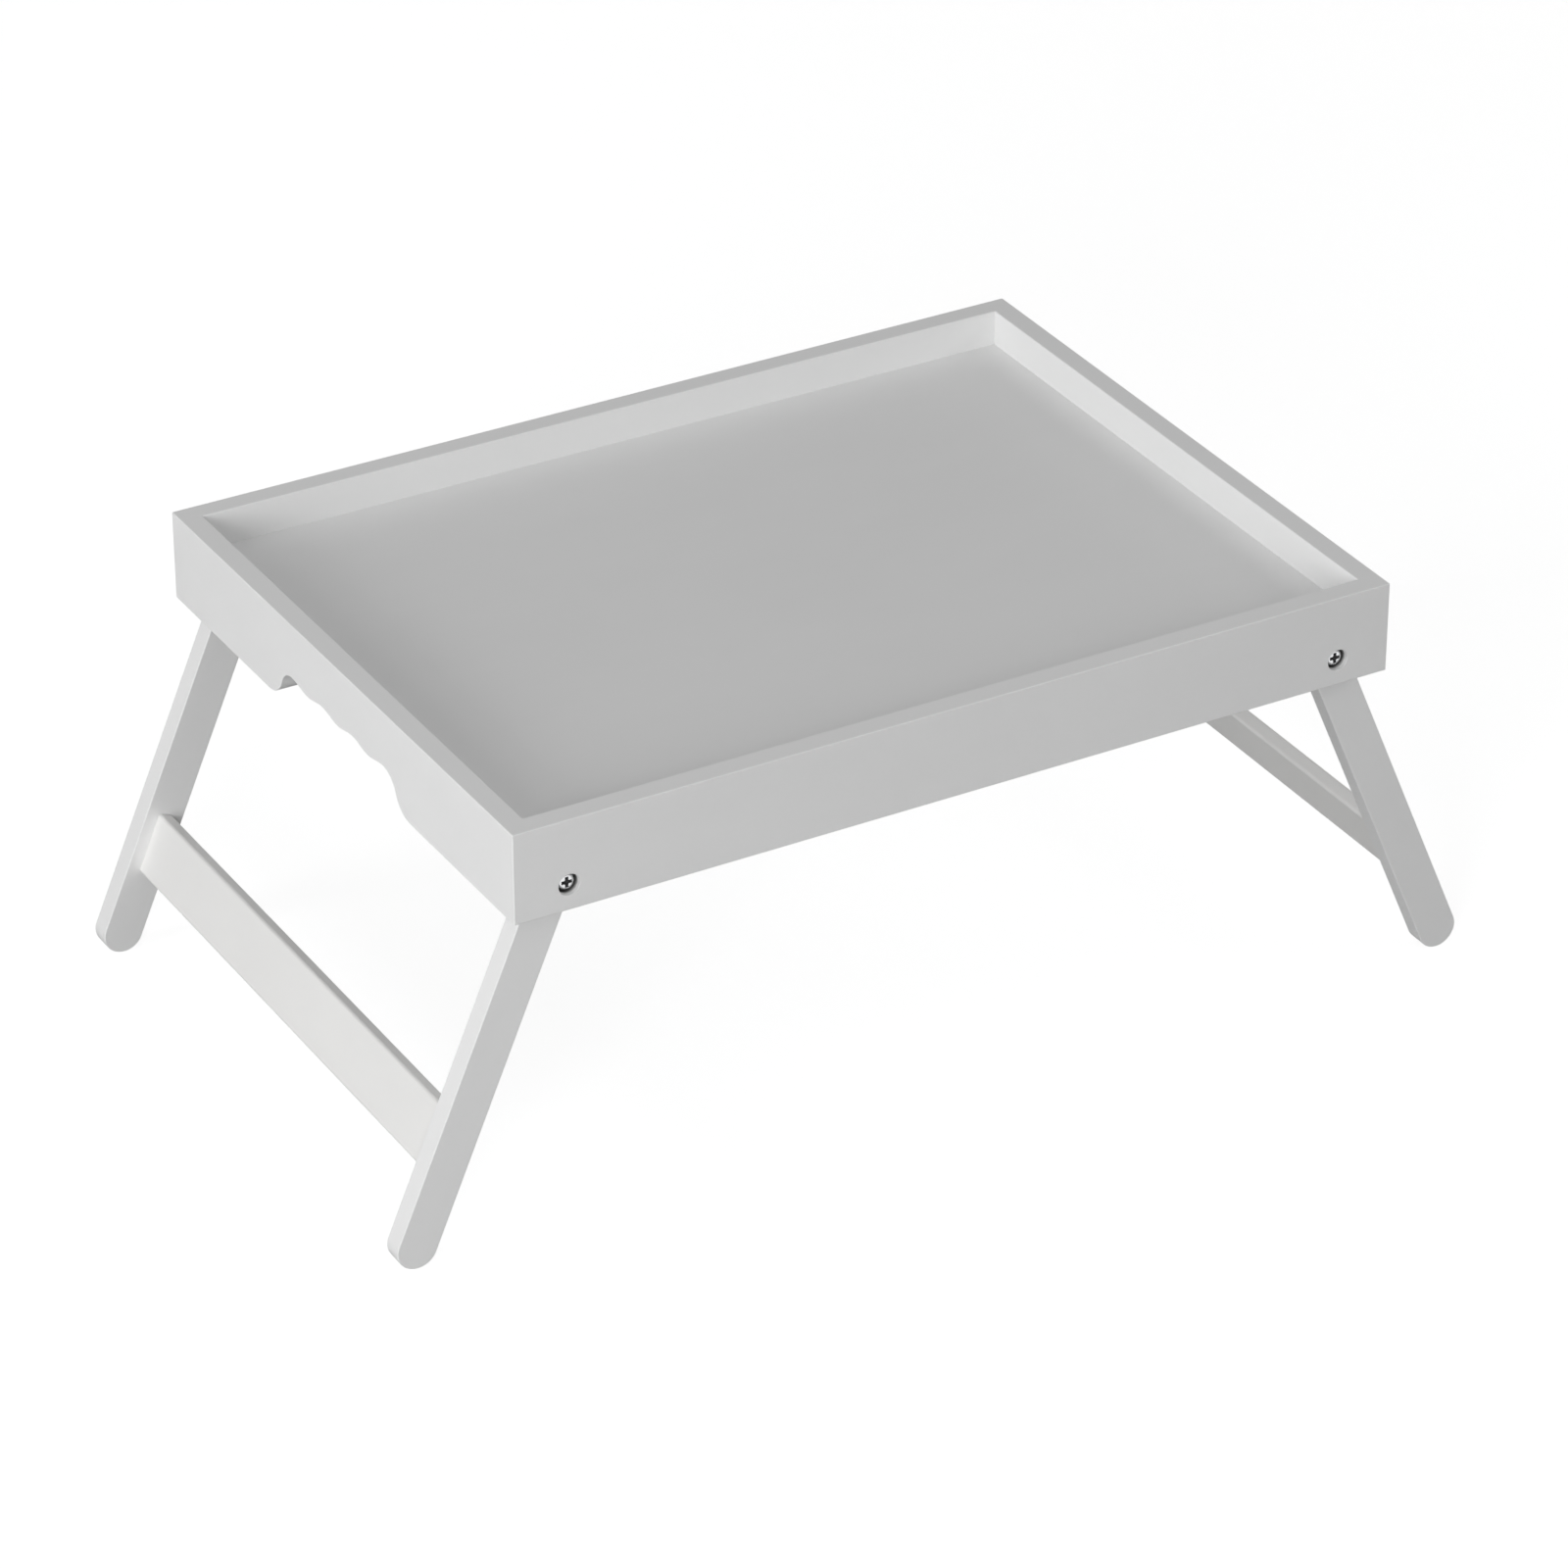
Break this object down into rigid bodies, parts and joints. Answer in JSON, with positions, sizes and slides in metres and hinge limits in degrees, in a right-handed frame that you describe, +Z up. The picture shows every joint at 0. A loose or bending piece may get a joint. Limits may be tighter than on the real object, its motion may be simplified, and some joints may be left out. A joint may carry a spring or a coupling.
{
  "type": "folding tray table",
  "caption": "Rectangular serving tray with finger-grip cut-outs in its end rails, on splayed leg frames that fold flat under it.",
  "frame": {"origin": "on the floor, under the middle of the tray, with both leg frames open", "axes": "+X along the tray's long side, +Y from the front rail to the back rail, +Z up"},
  "size_m": [0.6232, 0.375, 0.237],
  "materials": {
    "painted_wood": "satin white paint",
    "painted_panel": "satin white paint",
    "zinc_steel": "zinc plated",
    "beech": "bare beech"
  },
  "bodies": {
    "tray": {"rail_front": "painted_wood", "rail_back": "painted_wood", "end_rail_left": "painted_wood", "end_rail_right": "painted_wood", "tray_panel": "painted_panel", "pivot_bolt_front_left": "zinc_steel", "pivot_bolt_back_left": "zinc_steel", "pivot_bolt_front_right": "zinc_steel", "pivot_bolt_back_right": "zinc_steel", "washer_front_left": "zinc_steel", "washer_back_left": "zinc_steel", "washer_front_right": "zinc_steel", "washer_back_right": "zinc_steel", "lock_nut_front_left": "zinc_steel", "lock_nut_back_left": "zinc_steel", "lock_nut_front_right": "zinc_steel", "lock_nut_back_right": "zinc_steel", "dowels_front_left": "beech", "dowels_back_left": "beech", "dowels_front_right": "beech", "dowels_back_right": "beech"},
    "left_legs": {"leg_front_left": "painted_wood", "leg_back_left": "painted_wood", "cross_bar_left": "painted_wood"},
    "right_legs": {"leg_front_right": "painted_wood", "leg_back_right": "painted_wood", "cross_bar_right": "painted_wood"}
  },
  "joints": [
    {"name": "left_legs_fold", "type": "hinge", "parent": "tray", "child": "left_legs", "pos_m": [-0.22, 0, 0.201], "axis": [0, -1, 0], "range_deg": [0, 113]},
    {"name": "right_legs_fold", "type": "hinge", "parent": "tray", "child": "right_legs", "pos_m": [0.22, 0, 0.201], "axis": [0, 1, 0], "range_deg": [0, 113]}
  ]
}
